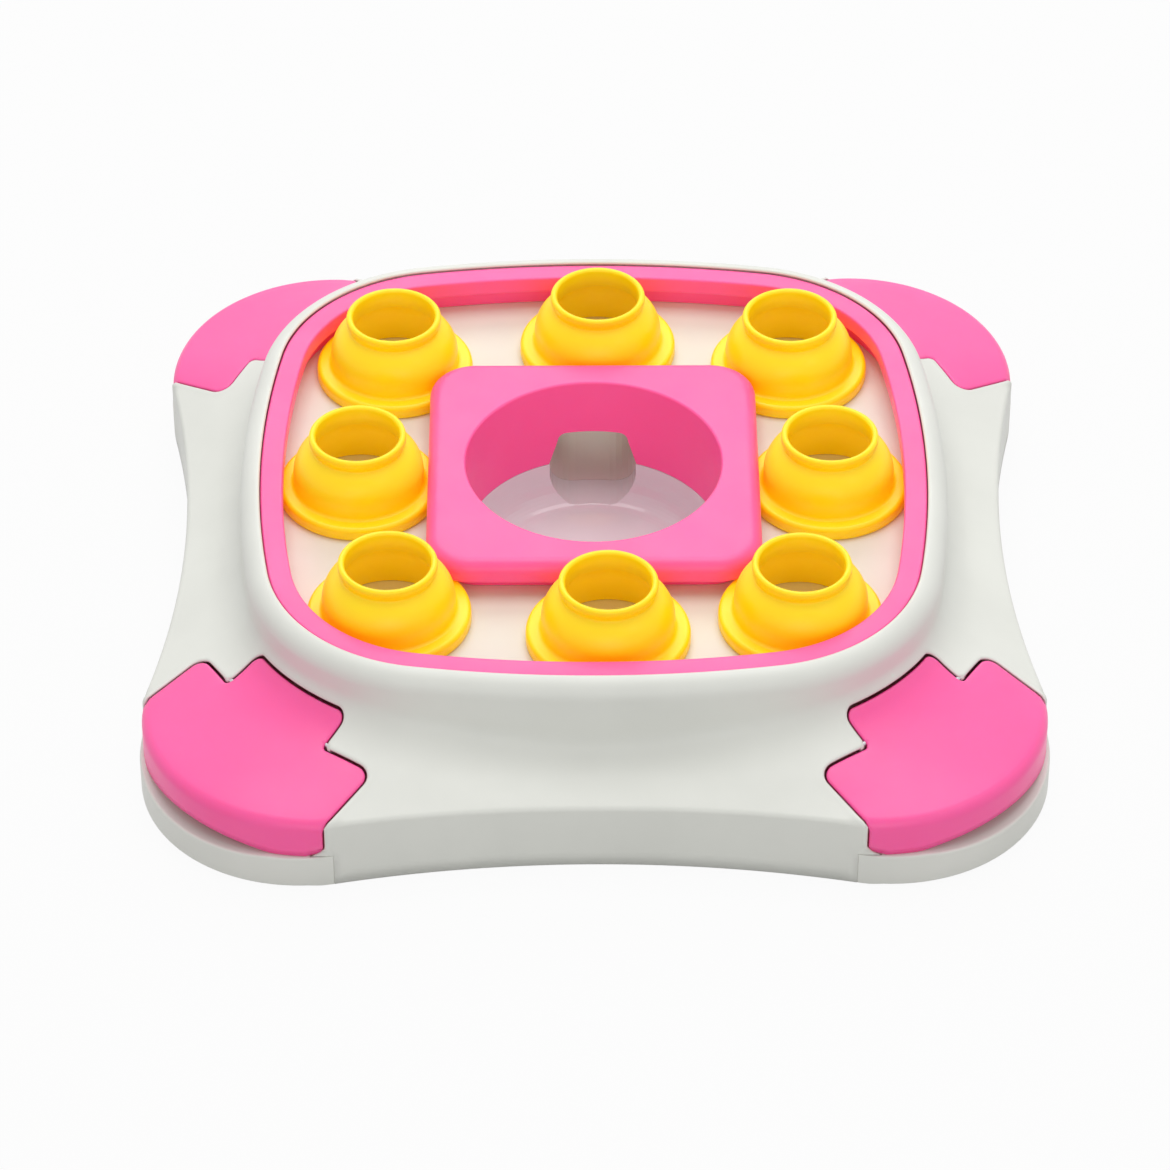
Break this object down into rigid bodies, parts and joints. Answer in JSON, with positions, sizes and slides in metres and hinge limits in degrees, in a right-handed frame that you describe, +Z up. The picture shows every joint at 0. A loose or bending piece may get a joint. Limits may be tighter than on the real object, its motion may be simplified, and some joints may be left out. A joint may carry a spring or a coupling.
{
  "type": "dog puzzle feeder toy",
  "caption": "Square dog puzzle feeder with yellow cups that slide round a pink-rimmed track, a treat chute to a central bowl, and flip-up pink lids over pockets at the corners.",
  "frame": {"origin": "middle of the toy, on the floor under its rubber feet", "axes": "+X right, +Y to the back where the treat drop and chute are, +Z up"},
  "size_m": [0.2996, 0.2996, 0.0697],
  "materials": {
    "white_plastic": "satin moulded plastic",
    "pink_plastic": "satin moulded plastic",
    "yellow_plastic": "satin moulded plastic",
    "steel": "zinc-plated",
    "rubber": "matt"
  },
  "bodies": {
    "body": {"base_tray": "white_plastic", "body_shell": "white_plastic", "play_deck": "white_plastic", "rim_ring": "pink_plastic", "centre_island": "pink_plastic", "well_wall": "pink_plastic", "treat_bowl": "white_plastic", "treat_chute": "white_plastic", "hinge_pin_rear_right": "steel", "hinge_pin_rear_left": "steel", "hinge_pin_front_left": "steel", "hinge_pin_front_right": "steel", "foot_rear_right": "rubber", "foot_rear_left": "rubber", "foot_front_left": "rubber", "foot_front_right": "rubber", "casing_screws": "steel", "ring_screws": "steel", "island_screws": "steel"},
    "cup_mid_right": {"cup_mid_right": "yellow_plastic"},
    "cup_rear_centre": {"cup_rear_centre": "yellow_plastic"},
    "cup_mid_left": {"cup_mid_left": "yellow_plastic"},
    "cup_front_centre": {"cup_front_centre": "yellow_plastic"},
    "cup_rear_right": {"cup_rear_right": "yellow_plastic"},
    "cup_rear_left": {"cup_rear_left": "yellow_plastic"},
    "cup_front_left": {"cup_front_left": "yellow_plastic"},
    "cup_front_right": {"cup_front_right": "yellow_plastic"},
    "lid_rear_right": {"lid_rear_right": "pink_plastic"},
    "lid_rear_left": {"lid_rear_left": "pink_plastic"},
    "lid_front_left": {"lid_front_left": "pink_plastic"},
    "lid_front_right": {"lid_front_right": "pink_plastic"}
  },
  "joints": [
    {"name": "slide_mid_right", "type": "slide", "parent": "body", "child": "cup_mid_right", "axis": [0, 1, 0], "range_m": [-0.015, 0.013]},
    {"name": "slide_rear_centre", "type": "slide", "parent": "body", "child": "cup_rear_centre", "axis": [-1, 0, 0], "range_m": [-0.013, 0.017]},
    {"name": "slide_mid_left", "type": "slide", "parent": "body", "child": "cup_mid_left", "axis": [0, -1, 0], "range_m": [-0.013, 0.014]},
    {"name": "slide_front_centre", "type": "slide", "parent": "body", "child": "cup_front_centre", "axis": [1, 0, 0], "range_m": [-0.018, 0.009]},
    {"name": "swing_rear_right", "type": "hinge", "parent": "body", "child": "cup_rear_right", "pos_m": [0.0386, 0.0386, 0.0448], "axis": [0, 0, 1], "range_deg": [-20.5, 21]},
    {"name": "swing_rear_left", "type": "hinge", "parent": "body", "child": "cup_rear_left", "pos_m": [-0.0386, 0.0386, 0.0448], "axis": [0, 0, 1], "range_deg": [-22, 17.5]},
    {"name": "swing_front_left", "type": "hinge", "parent": "body", "child": "cup_front_left", "pos_m": [-0.0386, -0.0386, 0.0448], "axis": [0, 0, 1], "range_deg": [-20, 19.5]},
    {"name": "swing_front_right", "type": "hinge", "parent": "body", "child": "cup_front_right", "pos_m": [0.0386, -0.0386, 0.0448], "axis": [0, 0, 1], "range_deg": [-9.5, 13]},
    {"name": "flip_rear_right", "type": "hinge", "parent": "body", "child": "lid_rear_right", "pos_m": [0.10278, 0.10278, 0.034], "axis": [0.7071, -0.7071, 0], "range_deg": [0, 85]},
    {"name": "flip_rear_left", "type": "hinge", "parent": "body", "child": "lid_rear_left", "pos_m": [-0.10278, 0.10278, 0.034], "axis": [0.7071, 0.7071, 0], "range_deg": [0, 85]},
    {"name": "flip_front_left", "type": "hinge", "parent": "body", "child": "lid_front_left", "pos_m": [-0.10278, -0.10278, 0.034], "axis": [-0.7071, 0.7071, 0], "range_deg": [0, 85]},
    {"name": "flip_front_right", "type": "hinge", "parent": "body", "child": "lid_front_right", "pos_m": [0.10278, -0.10278, 0.034], "axis": [-0.7071, -0.7071, 0], "range_deg": [0, 85]}
  ]
}
